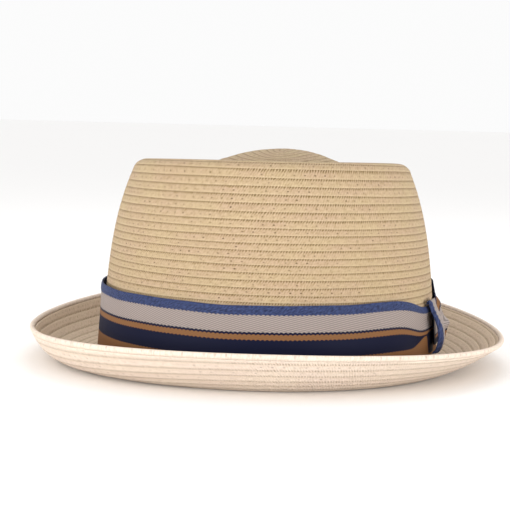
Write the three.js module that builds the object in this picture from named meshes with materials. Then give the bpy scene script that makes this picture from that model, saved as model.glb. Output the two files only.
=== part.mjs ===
// A porkpie hat of sewn straw braid with a striped ribbon band and a side bow.
// Millimetres, +Z up. The hat rests on the underside of its brim, and the origin is the floor point
// under its centre. The wearer looks along -Y, and the wearer's left, where the bow sits, is +X.
import * as THREE from "three";

// Straw wall and crown. Widths run across the head (X), lengths from brow to nape (Y).
const strawWall = 2;
const crownWidth = 166;
const crownLength = 202;
const crownHeight = 101.85;
const crownLean = 5.3;
const crownRounding = 11.2;
const crownRoundingPower = 3.7;
const rimRadius = 7;
const rimBowSideRise = 0.35;
const rimSideDrop = 3.9;
const rimBackDrop = 9;

// Crown tip: a gutter runs inside the rim, round a low dome.
const gutterDepth = 9.5;
const domeRise = 6.5;
const domeShift = 6;

// Brim: how far it reaches, how high its edge turns up on each side, and how late it curls. It rests on a
// narrow flat sole just outside the crown.
const brimReach = 33;
const brimRootRadius = 3;
const brimSquareness = 2.15;
const soleWidth = 2.5;
const soleSink = 0.3;
const brimEdge = {
  left: { height: 15.5, curl: 1.45 },
  right: { height: 16.9, curl: 4.3 },
  front: { height: 20.8, curl: 1.6 },
  back: { height: 26.5, curl: 1.6 },
};

// Ribbon band and its bow.
const ribbonWidth = 33;
const ribbonThickness = 1.6;
const ribbonGap = 0.5;
const ribbonTopStand = 0.6;
const bowAngle = -18;
const pinchTop = 5.5;
const pinchBottom = 5;
const pinchFrontSpread = 30;
const pinchBackSpread = 50;
const knotWidth = 12;
const knotThickness = 1.3;
const knotBelly = 1.6;
const knotBulge = 0.5;
const tailLength = 36;
const tailThickness = 1.1;
const tailBulge = 2.8;
const tailTopHeight = 39.5;
const tailBottomHeight = 9;
const tailSlant = 5;
const tailFanEnd = 0.7;
const tailGather = 0.8;
const tailLean = 2.9;
const tailLeanSpan = 7;
const pieceGap = 0.35;

// How finely the curved sheets are divided.
const columnsAround = 60;
const tipRings = 11;
const rimRings = 3;
const wallRings = 9;
const rootRings = 3;
const brimRings = 7;

const strawColor = 0xdcc297;
const ribbonColor = 0x26305a;
const knotColor = 0x35508c;
const tailColor = 0xb4a79c;

// The tip from the rim's crest in to the centre. Reach is a share of the crest's radius, gutter a share
// of gutterDepth below the crest, and dome a share of domeRise above it.
const tipSections = [
  { reach: 1.0, gutter: 0.0, dome: 0.0 },
  { reach: 0.96, gutter: 0.1, dome: 0.0 },
  { reach: 0.9, gutter: 0.46, dome: 0.0 },
  { reach: 0.84, gutter: 0.84, dome: 0.0 },
  { reach: 0.77, gutter: 1.0, dome: 0.0 },
  { reach: 0.69, gutter: 0.9, dome: 0.0 },
  { reach: 0.6, gutter: 0.5, dome: 0.0 },
  { reach: 0.52, gutter: 0.12, dome: 0.0 },
  { reach: 0.45, gutter: 0.0, dome: 0.15 },
  { reach: 0.3, gutter: 0.0, dome: 0.62 },
  { reach: 0.15, gutter: 0.0, dome: 0.9 },
  { reach: 0.0, gutter: 0.0, dome: 1.0 },
];

// The band's outer face from its top edge down. Drop is a share of ribbonWidth, and stand a share of
// ribbonTopStand by which the rolled top edge stands further out.
const bandSections = [
  { drop: 0.0, stand: 0.45 },
  { drop: 0.04, stand: 0.95 },
  { drop: 0.1, stand: 1.0 },
  { drop: 0.17, stand: 0.35 },
  { drop: 0.4, stand: 0.1 },
  { drop: 0.7, stand: 0.0 },
  { drop: 1.0, stand: 0.0 },
];

// The knot's outer face from its upper lip, over the gathered band, to its lower lip. Rise is a share of
// the gathered band's half height, lip a share of the knot's thickness and gap past it, stand a share of the
// way from the crown out to the knot's full stand, and belly a share of knotBelly.
const knotSections = [
  { rise: 1, lip: 1.15, stand: 0.42, belly: 0 },
  { rise: 1, lip: 1.5, stand: 0.62, belly: 0 },
  { rise: 1, lip: 1.2, stand: 0.86, belly: 0 },
  { rise: 0.8, lip: 0.5, stand: 0.98, belly: 0.05 },
  { rise: 0.35, lip: 0, stand: 1, belly: 0.5 },
  { rise: -0.3, lip: 0, stand: 1, belly: 1 },
  { rise: -0.85, lip: -0.5, stand: 0.98, belly: 0.6 },
  { rise: -1, lip: -1.2, stand: 0.86, belly: 0.1 },
  { rise: -1, lip: -1.5, stand: 0.62, belly: 0 },
  { rise: -1, lip: -1.15, stand: 0.42, belly: 0 },
];

const degrees = Math.PI / 180;
const clamp01 = (value) => Math.min(1, Math.max(0, value));
const smoothstep = (value) => clamp01(value) ** 2 * (3 - 2 * clamp01(value));
const mix = (from, to, share) => from + (to - from) * share;

// A smooth value of one column at a place along another column, through the rows of a table.
function tableValue(rows, placeKey, place, valueKey) {
  const rising = rows[0][placeKey] < rows.at(-1)[placeKey];
  const sorted = rising ? rows : [...rows].reverse();
  const last = sorted.length - 2;
  const found = sorted.findIndex((row, i) => i <= last && place <= sorted[i + 1][placeKey]);
  const index = found < 0 ? last : found;
  const [low, high] = [sorted[index], sorted[index + 1]];
  const span = high[placeKey] - low[placeKey];
  const share = clamp01((place - low[placeKey]) / span);
  const slope = (a, b) => (b[valueKey] - a[valueKey]) / (b[placeKey] - a[placeKey]);
  const steepness = (i) => {
    if (i === 0 || i === sorted.length - 1) return 0;
    const before = slope(sorted[i - 1], sorted[i]);
    const after = slope(sorted[i], sorted[i + 1]);
    return before * after > 0 ? (2 * before * after) / (before + after) : 0;
  };
  const cube = share ** 3;
  const square = share ** 2;
  return (
    (2 * cube - 3 * square + 1) * low[valueKey] +
    (cube - 2 * square + share) * steepness(index) * span +
    (3 * square - 2 * cube) * high[valueKey] +
    (cube - square) * steepness(index + 1) * span
  );
}

// A point on an oval, whose squareness of 2 is a true ellipse.
function ovalPoint(halfWidth, halfLength, angle, height, squareness = 2, shift = 0) {
  const bend = (value) => Math.sign(value) * Math.abs(value) ** (2 / squareness);
  const x = shift + halfWidth * bend(Math.cos(angle));
  const y = halfLength * bend(Math.sin(angle));
  return new THREE.Vector3(x, y, height);
}

// The straw body's upper and outer face.
const brimFloor = strawWall - soleSink;

// The top's slope, from full height at the front down to the sides and the back.
function rimLevel(side, back) {
  const drop = rimSideDrop * (1 - back ** 2) + (rimBackDrop * (back + back ** 2)) / 2;
  return crownHeight + rimBowSideRise * side - drop;
}

const rimHeight = (angle) => rimLevel(Math.cos(angle), Math.sin(angle));

const wallInset = (share) => crownLean * share + crownRounding * share ** crownRoundingPower;

// The lean of the wall where the rim's round corner takes over.
const shoulderShare = 1 - (rimRadius * 0.7) / crownHeight;
const shoulderSlope = crownLean + crownRounding * crownRoundingPower * shoulderShare ** (crownRoundingPower - 1);
const shoulderLean = Math.atan(shoulderSlope / crownHeight);
const crestInset = wallInset(shoulderShare) + rimRadius * Math.cos(shoulderLean);

function wallPoint(share, angle, stand = 0) {
  const inset = wallInset(share) - stand;
  const height = rimHeight(angle) * share;
  return ovalPoint(crownWidth / 2 - inset, crownLength / 2 - inset, angle, height);
}

function rimPoint(share, angle) {
  const turn = mix(shoulderLean, Math.PI / 2, share);
  const inset = crestInset - rimRadius * Math.cos(turn);
  const height = rimHeight(angle) - rimRadius * (1 - Math.sin(turn));
  return ovalPoint(crownWidth / 2 - inset, crownLength / 2 - inset, angle, height);
}

function tipPoint(reach, angle) {
  const rise =
    domeRise * tableValue(tipSections, "reach", reach, "dome") -
    gutterDepth * tableValue(tipSections, "reach", reach, "gutter");
  const level = rimLevel(reach * Math.cos(angle), reach * Math.sin(angle));
  const halfWidth = (crownWidth / 2 - crestInset) * reach;
  const halfLength = (crownLength / 2 - crestInset) * reach;
  return ovalPoint(halfWidth, halfLength, angle, level + rise, 2, domeShift * (1 - reach));
}

function rootPoint(share, angle) {
  const turn = (share * Math.PI) / 2;
  const out = brimRootRadius * (1 - Math.cos(turn));
  const height = brimFloor + brimRootRadius * (1 - Math.sin(turn));
  return ovalPoint(crownWidth / 2 + out, crownLength / 2 + out, angle, height);
}

// The edge height or curl of the brim at an angle, blended from its four sides.
function brimValue(key, angle) {
  const side = Math.cos(angle) > 0 ? brimEdge.left : brimEdge.right;
  const end = Math.sin(angle) > 0 ? brimEdge.back : brimEdge.front;
  return side[key] * Math.cos(angle) ** 2 + end[key] * Math.sin(angle) ** 2;
}

function brimPoint(share, angle) {
  const out = mix(brimRootRadius + soleWidth, brimReach, share);
  const rise = brimValue("height", angle) - brimFloor;
  const height = brimFloor + rise * share ** brimValue("curl", angle);
  const squareness = mix(2, brimSquareness, share);
  return ovalPoint(crownWidth / 2 + out, crownLength / 2 + out, angle, height, squareness);
}

const evenShares = (count) => Array.from({ length: count }, (_, i) => (i + 1) / count);
const wallFoot = (angle) => (brimFloor + brimRootRadius) / rimHeight(angle);
const bodyStations = [
  (angle) => tipPoint(0, angle),
  ...evenShares(tipRings).map((share) => (angle) => tipPoint(share, angle)),
  ...evenShares(rimRings).map((share) => (angle) => rimPoint(1 - share, angle)),
  ...evenShares(wallRings).map(
    (share) => (angle) => wallPoint(mix(shoulderShare, wallFoot(angle), share), angle),
  ),
  ...evenShares(rootRings).map((share) => (angle) => rootPoint(share, angle)),
  (angle) => brimPoint(0, angle),
  ...evenShares(brimRings).map((share) => (angle) => brimPoint(share, angle)),
];

// The ribbon and the bow stand off the crown's outer face.
const ribbonBottomHeight = brimFloor + brimRootRadius;
const ribbonTopHeight = ribbonBottomHeight + ribbonWidth;

function crownStandPoint(height, angle, stand) {
  const share = height / rimHeight(angle);
  const outward = new THREE.Vector3(
    Math.cos(angle) / crownWidth,
    Math.sin(angle) / crownLength,
    0,
  ).normalize();
  return wallPoint(share, angle).addScaledVector(outward, stand);
}

// How far the knot gathers the band at an angle: 1 at the knot, 0 away from it.
function gather(angle) {
  const away = angle / degrees - bowAngle;
  const turned = ((away + 540) % 360) - 180;
  const spread = turned < 0 ? pinchFrontSpread : pinchBackSpread;
  const knotHalf = knotWidth / crownWidth / degrees;
  return 1 - smoothstep((Math.abs(turned) - knotHalf) / (spread - knotHalf));
}

const bandStand = ribbonGap + ribbonThickness;

function bandPoint(section, angle) {
  const top = ribbonTopHeight - pinchTop * gather(angle);
  const bottom = ribbonBottomHeight + pinchBottom * gather(angle);
  const stand = bandStand + ribbonTopStand * section.stand;
  return crownStandPoint(mix(top, bottom, section.drop), angle, stand);
}

const tailStand = bandStand + ribbonTopStand + pieceGap + tailThickness;
const knotStand = tailStand + pieceGap + knotThickness;
const knotReach = pieceGap + knotThickness;
const pinchedTop = ribbonTopHeight - pinchTop;
const pinchedBottom = ribbonBottomHeight + pinchBottom;
const pinchedMiddle = (pinchedTop + pinchedBottom) / 2;
const pinchedHalf = (pinchedTop - pinchedBottom) / 2;

function knotPoint(section, across) {
  const angle = bowAngle * degrees + (across * knotWidth) / crownWidth;
  const crowned = knotBulge * (1 - across ** 2) + knotBelly * section.belly;
  const lipped = section.rise * pinchedHalf + section.lip * knotReach;
  return crownStandPoint(pinchedMiddle + lipped, angle, knotStand * section.stand + crowned);
}

// The tail starts under the knot, where it is gathered, and fans out past it towards the back.
function tailPoint(along, down) {
  const covered = knotWidth / tailLength;
  const past = clamp01((along - covered) / (1 - covered));
  const fan = smoothstep(past / tailFanEnd);
  const slant = tailSlant * past * (0.5 - down);
  const angle = bowAngle * degrees + (along * tailLength + slant) / (crownWidth / 2);
  const top = mix(pinchedMiddle + tailGather * pinchedHalf, tailTopHeight, fan);
  const bottom = mix(pinchedMiddle - tailGather * pinchedHalf, tailBottomHeight, fan);
  const height = mix(top, bottom, down);
  const lean = tailLean * fan * smoothstep((height - tailTopHeight + tailLeanSpan) / tailLeanSpan);
  const swell = tailBulge * smoothstep(past * 2) * Math.sin(Math.PI * mix(0.1, 0.9, down));
  return crownStandPoint(height, angle, tailStand + swell - lean);
}

// A closed solid from a grid of points on its outer face, given from top to bottom and turning left to
// right, with its inner face one thickness behind. A pole closes the first station to a point, and
// nothing of the solid goes below the floor.
function thickSheet(grid, thickness, { around = false, pole = false }) {
  const stations = grid.length;
  const columns = grid[0].length;
  const wrap = (column) => (around ? (column + columns) % columns : Math.min(columns - 1, Math.max(0, column)));
  const opposite = (column) => (column + columns / 2) % columns;
  const pointBefore = (i, j) => (i > 0 ? grid[i - 1][j] : pole ? grid[1][opposite(j)] : grid[0][j]);
  const normalAt = (i, j) => {
    const down = grid[Math.min(stations - 1, i + 1)][j].clone().sub(pointBefore(i, j));
    const side = grid[pole && i === 0 ? 1 : i][wrap(j + 1)].clone().sub(grid[pole && i === 0 ? 1 : i][wrap(j - 1)]);
    return down.cross(side).normalize();
  };
  const positions = [];
  const addPoint = (point) => positions.push(point.x, point.y, Math.max(0, point.z)) / 3 - 1;
  const outer = grid.map((row) => row.map(() => 0));
  const inner = grid.map((row) => row.map(() => 0));
  for (let i = 0; i < stations; i++) {
    for (let j = 0; j < columns; j++) {
      const shared = pole && i === 0 && j > 0;
      const behind = grid[i][j].clone().addScaledVector(normalAt(i, j), -thickness);
      outer[i][j] = shared ? outer[0][0] : addPoint(grid[i][j]);
      inner[i][j] = shared ? inner[0][0] : addPoint(behind);
    }
  }
  const triangles = [];
  const addQuad = (a, b, c, d) => {
    for (const corners of [[a, b, c], [a, c, d]]) {
      if (new Set(corners).size === 3) triangles.push(...corners);
    }
  };
  const lastColumn = around ? columns : columns - 1;
  for (let j = 0; j < lastColumn; j++) {
    const next = wrap(j + 1);
    for (let i = 0; i < stations - 1; i++) {
      addQuad(outer[i][j], outer[i + 1][j], outer[i + 1][next], outer[i][next]);
      addQuad(inner[i][j], inner[i][next], inner[i + 1][next], inner[i + 1][j]);
    }
    const end = stations - 1;
    addQuad(outer[end][j], inner[end][j], inner[end][next], outer[end][next]);
    if (!pole) addQuad(outer[0][j], outer[0][next], inner[0][next], inner[0][j]);
  }
  if (!around) {
    for (let i = 0; i < stations - 1; i++) {
      const end = columns - 1;
      addQuad(outer[i][0], inner[i][0], inner[i + 1][0], outer[i + 1][0]);
      addQuad(outer[i][end], outer[i + 1][end], inner[i + 1][end], inner[i][end]);
    }
  }
  const geometry = new THREE.BufferGeometry();
  geometry.setAttribute("position", new THREE.Float32BufferAttribute(positions, 3));
  geometry.setIndex(triangles);
  geometry.computeVertexNormals();
  return geometry;
}

const angles = Array.from({ length: columnsAround }, (_, j) => (j / columnsAround) * 2 * Math.PI);
const strawGeometry = thickSheet(
  bodyStations.map((station) => angles.map(station)),
  strawWall,
  { around: true, pole: true },
);
const bandGeometry = thickSheet(
  bandSections.map((section) => angles.map((angle) => bandPoint(section, angle))),
  ribbonThickness,
  { around: true },
);
const knotGeometry = thickSheet(
  knotSections.map((section) => [-1, -0.6, 0, 0.6, 1].map((across) => knotPoint(section, across))),
  knotThickness,
  {},
);
const tailDowns = [0, 0.15, 0.35, 0.6, 0.85, 1];
const tailAlongs = [0, 0.1, 0.2, 0.35, 0.5, 0.7, 0.85, 1];
const tailGeometry = thickSheet(
  tailDowns.map((down) => tailAlongs.map((along) => tailPoint(along, down))),
  tailThickness,
  {},
);

function addPiece(group, name, geometry, color, roughness) {
  const material = new THREE.MeshStandardMaterial({ color, roughness, metalness: 0 });
  const mesh = new THREE.Mesh(geometry, material);
  mesh.name = name;
  group.add(mesh);
}

const hat = new THREE.Group();
addPiece(hat, "straw_body", strawGeometry, strawColor, 0.85);
addPiece(hat, "ribbon_band", bandGeometry, ribbonColor, 0.7);
addPiece(hat, "bow_knot", knotGeometry, knotColor, 0.7);
addPiece(hat, "bow_tail", tailGeometry, tailColor, 0.7);

export default hat;
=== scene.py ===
"""A porkpie hat of sewn straw braid, with a striped ribbon band and a side bow, on a pale studio floor.

The hat rests on its brim at the origin. The wearer looks along -Y, and the bow is on the +X side.
"""

import math
from functools import partial

import bmesh
import bpy
import numpy as np
from bpy.props import FloatProperty, FloatVectorProperty, IntProperty, PointerProperty
from mathutils import Matrix, Vector


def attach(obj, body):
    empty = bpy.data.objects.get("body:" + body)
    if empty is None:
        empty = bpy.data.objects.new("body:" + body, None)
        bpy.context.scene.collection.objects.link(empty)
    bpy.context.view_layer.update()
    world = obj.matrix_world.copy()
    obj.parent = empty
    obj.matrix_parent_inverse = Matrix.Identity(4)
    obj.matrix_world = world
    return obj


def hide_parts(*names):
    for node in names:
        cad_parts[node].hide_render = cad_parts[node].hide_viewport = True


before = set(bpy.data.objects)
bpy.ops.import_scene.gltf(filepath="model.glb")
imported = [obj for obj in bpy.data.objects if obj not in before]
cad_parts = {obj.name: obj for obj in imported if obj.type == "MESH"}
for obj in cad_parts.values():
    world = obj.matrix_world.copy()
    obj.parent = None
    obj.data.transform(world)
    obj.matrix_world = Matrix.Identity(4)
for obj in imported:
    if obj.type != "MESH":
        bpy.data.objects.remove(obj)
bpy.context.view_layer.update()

bl_info = {
    "name": "Straw Porkpie Hat",
    "version": (1, 0, 0),
    "blender": (4, 5, 0),
    "location": "View3D > Sidebar > Hat",
    "description": "Builds a porkpie hat of sewn straw braid with a ribbon band and bow",
    "category": "Add Mesh",
}

MM = 0.001


def linear(code):
    """Scene-linear red, green and blue of an sRGB hex colour."""
    shares = [int(code[i : i + 2], 16) / 255 for i in (0, 2, 4)]
    return tuple(c / 12.92 if c <= 0.04045 else ((c + 0.055) / 1.055) ** 2.4 for c in shares)


# The hat's shape in millimetres, as the frame has it.

WALL = 2.0
CROWN_WIDTH = 166.0
CROWN_LENGTH = 202.0
CROWN_HEIGHT = 101.85
CROWN_LEAN = 5.3
CROWN_ROUNDING = 11.2
CROWN_ROUNDING_POWER = 3.7
RIM_RADIUS = 7.0
RIM_BOW_SIDE_RISE = 0.35
RIM_SIDE_DROP = 3.9
RIM_BACK_DROP = 9.0
GUTTER_DEPTH = 9.5
DOME_RISE = 6.5
DOME_SHIFT = 6.0

BRIM_REACH = 33.0
ROOT_RADIUS = 3.0
BRIM_SQUARENESS = 2.15
SOLE_WIDTH = 2.5
BRIM_FLOOR = 1.7
# Height of the brim's edge, and how late it curls up: wearer's left, right, front and back.
BRIM_LEFT = (15.5, 1.45)
BRIM_RIGHT = (16.9, 4.3)
BRIM_FRONT = (20.8, 1.6)
BRIM_BACK = (26.5, 1.6)

RIBBON_WIDTH = 33.0
RIBBON_BOTTOM = BRIM_FLOOR + ROOT_RADIUS
RIBBON_TOP = RIBBON_BOTTOM + RIBBON_WIDTH
RIBBON_STAND = 2.1
BOW_ANGLE = -18.0
PINCH_TOP = 5.5
PINCH_BOTTOM = 5.0
PINCH_FRONT_SPREAD = 30.0
PINCH_BACK_SPREAD = 50.0
KNOT_WIDTH = 12.0
TAIL_LENGTH = 36.0

# The tip: share of the crest's radius, share of the gutter's depth, share of the dome's rise.
TIP_REACH = (0.0, 0.15, 0.3, 0.45, 0.52, 0.6, 0.69, 0.77, 0.84, 0.9, 0.96, 1.0)
TIP_GUTTER = (0.0, 0.0, 0.0, 0.0, 0.12, 0.5, 0.9, 1.0, 0.84, 0.46, 0.1, 0.0)
TIP_DOME = (1.0, 0.9, 0.62, 0.15, 0.0, 0.0, 0.0, 0.0, 0.0, 0.0, 0.0, 0.0)

# The ribbon's outer face from its top edge down: share of its width, and how far the rolled edge stands out.
BAND_DROP = (0.0, 0.04, 0.1, 0.17, 0.4, 0.7, 1.0)
BAND_ROLL = (0.27, 0.57, 0.6, 0.21, 0.06, 0.0, 0.0)

# The height on the wall where the brim's first row takes over, hidden by the ribbon, and the small gap
# between the crown's last line and it.
HANDOVER_HEIGHT = 12.0
HANDOVER_GAP = 0.1


def mix(low, high, share):
    return low + (high - low) * share


def clamp(value):
    return np.clip(value, 0.0, 1.0)


def smoothstep(value):
    value = clamp(value)
    return value * value * (3 - 2 * value)


def smooth_table(places, values, place):
    """A smooth value at each place, through a table's rows, which never overshoots them."""
    places, values = np.asarray(places, float), np.asarray(values, float)
    slopes = np.diff(values) / np.diff(places)
    before, after = slopes[:-1], slopes[1:]
    both = np.where(before * after > 0, before * after, 0.0)
    total = np.where(both > 0, before + after, 1.0)
    steepness = np.concatenate([[0.0], 2 * both / total, [0.0]])
    index = np.clip(np.searchsorted(places, place, side="left") - 1, 0, len(places) - 2)
    span = places[index + 1] - places[index]
    share = clamp((place - places[index]) / span)
    square, cube = share**2, share**3
    return (
        (2 * cube - 3 * square + 1) * values[index]
        + (cube - 2 * square + share) * steepness[index] * span
        + (3 * square - 2 * cube) * values[index + 1]
        + (cube - square) * steepness[index + 1] * span
    )


def travelled(points):
    """The distance from the first point to each point, over the points between them."""
    steps = np.linalg.norm(np.diff(points, axis=0), axis=-1)
    return np.concatenate([0 * steps[:1], np.cumsum(steps, axis=0)])


def waves(place, parts):
    """A sum of waves, each given by its height, its rate and its start."""
    return sum(height * np.sin(place * rate + start) for height, rate, start in parts)


def bend(value, squareness):
    return np.sign(value) * np.abs(value) ** (2 / squareness)


def oval(out, angle, height, squareness=2.0):
    """Points on an oval this far out from the crown's foot, whose squareness of 2 is a true ellipse."""
    x = (CROWN_WIDTH / 2 + out) * bend(np.cos(angle), squareness)
    y = (CROWN_LENGTH / 2 + out) * bend(np.sin(angle), squareness)
    return np.stack(np.broadcast_arrays(x, y, height), axis=-1)


def rim_level(side, back):
    drop = RIM_SIDE_DROP * (1 - back**2) + RIM_BACK_DROP * (back + back**2) / 2
    return CROWN_HEIGHT + RIM_BOW_SIDE_RISE * side - drop


def rim_height(angle):
    return rim_level(np.cos(angle), np.sin(angle))


def wall_inset(share):
    return CROWN_LEAN * share + CROWN_ROUNDING * share**CROWN_ROUNDING_POWER


SHOULDER_SHARE = 1 - RIM_RADIUS * 0.7 / CROWN_HEIGHT
SHOULDER_SLOPE = CROWN_LEAN + CROWN_ROUNDING * CROWN_ROUNDING_POWER * SHOULDER_SHARE ** (
    CROWN_ROUNDING_POWER - 1
)
SHOULDER_LEAN = math.atan(SHOULDER_SLOPE / CROWN_HEIGHT)
CREST_INSET = float(wall_inset(SHOULDER_SHARE)) + RIM_RADIUS * math.cos(SHOULDER_LEAN)
CREST_HALF_WIDTH = CROWN_WIDTH / 2 - CREST_INSET
CREST_HALF_LENGTH = CROWN_LENGTH / 2 - CREST_INSET
RIM_ARC = RIM_RADIUS * (math.pi / 2 - SHOULDER_LEAN)


def tip_point(x, y):
    """The tip's upper face over a point of the crest's plan, before the dome's shift to the bow side."""
    side, back = x / CREST_HALF_WIDTH, y / CREST_HALF_LENGTH
    reach = np.hypot(side, back)
    rise = DOME_RISE * smooth_table(TIP_REACH, TIP_DOME, reach)
    rise = rise - GUTTER_DEPTH * smooth_table(TIP_REACH, TIP_GUTTER, reach)
    shifted = x + DOME_SHIFT * (1 - np.minimum(reach, 1.0))
    return np.stack([shifted, y, rim_level(side, back) + rise], axis=-1)


def wall_point(share, angle):
    inset = wall_inset(np.maximum(share, 0.0))
    return oval(-inset, angle, rim_height(angle) * share)


def rim_point(share, angle):
    turn = mix(math.pi / 2, SHOULDER_LEAN, share)
    inset = CREST_INSET - RIM_RADIUS * np.cos(turn)
    return oval(-inset, angle, rim_height(angle) - RIM_RADIUS * (1 - np.sin(turn)))


def unit(vectors):
    return vectors / np.maximum(np.linalg.norm(vectors, axis=-1, keepdims=True), 1e-12)


# The small steps that find a surface's outward direction: in millimetres, in radians round the hat, and
# in places along the brim's path.
NUDGE = 0.05
NUDGE_TURN = 0.001
NUDGE_PLACE = 0.003


def with_outward(surface, first, second, steps):
    """Points of a surface and their outward directions, from steps along its two places."""
    along = surface(first, second + steps[1]) - surface(first, second - steps[1])
    down = surface(first + steps[0], second) - surface(first - steps[0], second)
    return surface(first, second), unit(np.cross(down, along))


# Distances past the rim's crest at which the rows are counted, and the wall's distance below its shoulder
# at each share of the crown's height.
WALL_DISTANCES = np.linspace(0.0, 130.0, 521)
# Between these distances the rows draw closer.
PITCH_CHANGE = (28.0, 36.0)
WALL_SHARES = np.linspace(SHOULDER_SHARE, 0.0, 400)
WALL_ARC = np.concatenate(
    [[0.0], np.cumsum(np.hypot(np.diff(WALL_SHARES) * CROWN_HEIGHT, np.diff(wall_inset(WALL_SHARES))))]
)


def crown_place(past_crest, angle):
    """Points past the rim's crest, by their distance over the rim and down the wall."""
    over_rim = rim_point(clamp(past_crest / RIM_ARC), angle)
    share = np.interp(past_crest - RIM_ARC, WALL_ARC, WALL_SHARES)
    down_wall = wall_point(share, angle)
    return np.where((past_crest < RIM_ARC)[..., None], over_rim, down_wall)


def brim_value(column, angle):
    """The edge's height or the curl's lateness at an angle, between those of the brim's four sides."""
    side = np.where(np.cos(angle) > 0, BRIM_LEFT[column], BRIM_RIGHT[column])
    end = np.where(np.sin(angle) > 0, BRIM_BACK[column], BRIM_FRONT[column])
    return side * np.cos(angle) ** 2 + end * np.sin(angle) ** 2


def brim_point(share, angle):
    out = mix(ROOT_RADIUS + SOLE_WIDTH, BRIM_REACH, share)
    rise = brim_value(0, angle) - BRIM_FLOOR
    height = BRIM_FLOOR + rise * np.maximum(share, 0.0) ** brim_value(1, angle)
    squareness = mix(2.0, BRIM_SQUARENESS, share)
    return oval(out, angle, height, squareness)


def brim_path(place, angle):
    """The wall's foot, the root's bend, the sole and the brim: places 0 to 1, 2, 3 and 4."""
    foot = mix(HANDOVER_HEIGHT, RIBBON_BOTTOM, clamp(place)) / rim_height(angle)
    turn = clamp(place - 1) * math.pi / 2
    out = ROOT_RADIUS * (1 - np.cos(turn)) + SOLE_WIDTH * clamp(place - 2)
    height = BRIM_FLOOR + ROOT_RADIUS * (1 - np.sin(turn))
    bent = oval(out, angle, height)
    curled = brim_point(clamp(place - 3), angle)
    near = np.where((place < 1)[..., None], wall_point(foot, angle), bent)
    return np.where((place > 3)[..., None], curled, near)


# The ribbon and the bow stand off the crown's wall.


def stand_point(height, angle, stand):
    share = height / rim_height(angle)
    outward = np.stack([np.cos(angle) / CROWN_WIDTH, np.sin(angle) / CROWN_LENGTH, 0 * angle], axis=-1)
    return wall_point(share, angle) + unit(outward) * np.asarray(stand)[..., None]


def past_bow(angle):
    """Degrees past the middle of the bow, counter-clockwise from above, from -180 to 180."""
    return (np.degrees(angle) - BOW_ANGLE + 540) % 360 - 180


def gather(angle):
    """How far the knot gathers the band: 1 at the knot, 0 away from it."""
    turned = past_bow(angle)
    spread = np.where(turned < 0, PINCH_FRONT_SPREAD, PINCH_BACK_SPREAD)
    knot_half = math.degrees(KNOT_WIDTH / CROWN_WIDTH)
    return 1 - smoothstep((np.abs(turned) - knot_half) / (spread - knot_half))


def number(name, description, default, least, most, **kind):
    """A property that holds a number, with its unit or subtype."""
    return FloatProperty(name=name, description=description, default=default, min=least, max=most, **kind)


def length(name, description, size, least, most):
    """A property that holds a length, from its millimetres."""
    return number(name, description, size * MM, least * MM, most * MM, unit="LENGTH")


def tint(name, description, code):
    """A property that holds a colour, from its sRGB hex colour."""
    return FloatVectorProperty(
        name=name, description=description, default=linear(code), min=0.0, max=1.0, subtype="COLOR"
    )


class HatSizes(bpy.types.PropertyGroup):
    """Sizes of the straw braid and how it is sewn"""

    tip_rows: number("Tip rows", "Rows of braid from the middle of the tip to the rim", 17.735, 6.0, 40.0)
    rim_pitch: length("Pitch at the rim", "Spacing of the rows on the upper crown", 3.95, 2.0, 9.0)
    band_pitch: length("Pitch at the band", "Spacing of the rows on the lower crown", 3.38, 2.0, 9.0)
    root_pitch: length("Pitch at the root", "Spacing of the rows where the brim starts", 3.7, 2.0, 9.0)
    edge_pitch: length("Pitch at the edge", "Spacing of the rows near the brim's edge", 5.0, 2.0, 9.0)
    overlap_step: length(
        "Overlap step", "How far each row's lower edge stands over the next row", 0.12, 0.0, 1.5
    )
    edge_roll: length("Edge roll", "Width of the narrow rolled row at the brim's edge", 2.6, 1.0, 6.0)
    stitch_spacing: length(
        "Stitch spacing", "Distance between the stitches that hold each row", 4.9, 1.5, 12.0
    )
    waver: number(
        "Waver", "How far the sewn rows stray, as a share of their spacing",
        0.06, 0.0, 0.3, subtype="FACTOR",
    )
    crown_columns: IntProperty(
        name="Crown columns", description="Divisions round the crown, a multiple of four",
        default=192, min=48, max=400,
    )
    brim_columns: IntProperty(
        name="Brim columns", description="Divisions round the brim, a multiple of four",
        default=300, min=48, max=600,
    )


class RibbonSizes(bpy.types.PropertyGroup):
    """Widths of the ribbon's stripes from its top edge down"""

    blue: length("Blue stripe", "Width of the blue stripe at the top edge", 4.6, 0.5, 20.0)
    cream: length("Cream stripe", "Width of the cream twill stripe", 7.8, 0.5, 20.0)
    line: length("Navy line", "Width of the thin navy line", 1.1, 0.2, 10.0)
    tan: length("Tan stripe", "Width of the upper tan stripe", 2.4, 0.5, 20.0)
    navy: length("Navy stripe", "Width of the wide navy stripe", 8.0, 0.5, 20.0)
    thickness: length("Thickness", "Thickness of the woven ribbon", 0.9, 0.3, 1.5)
    twill: length("Twill spacing", "Spacing of the twill's slanting ribs", 0.87, 0.3, 4.0)


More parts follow.
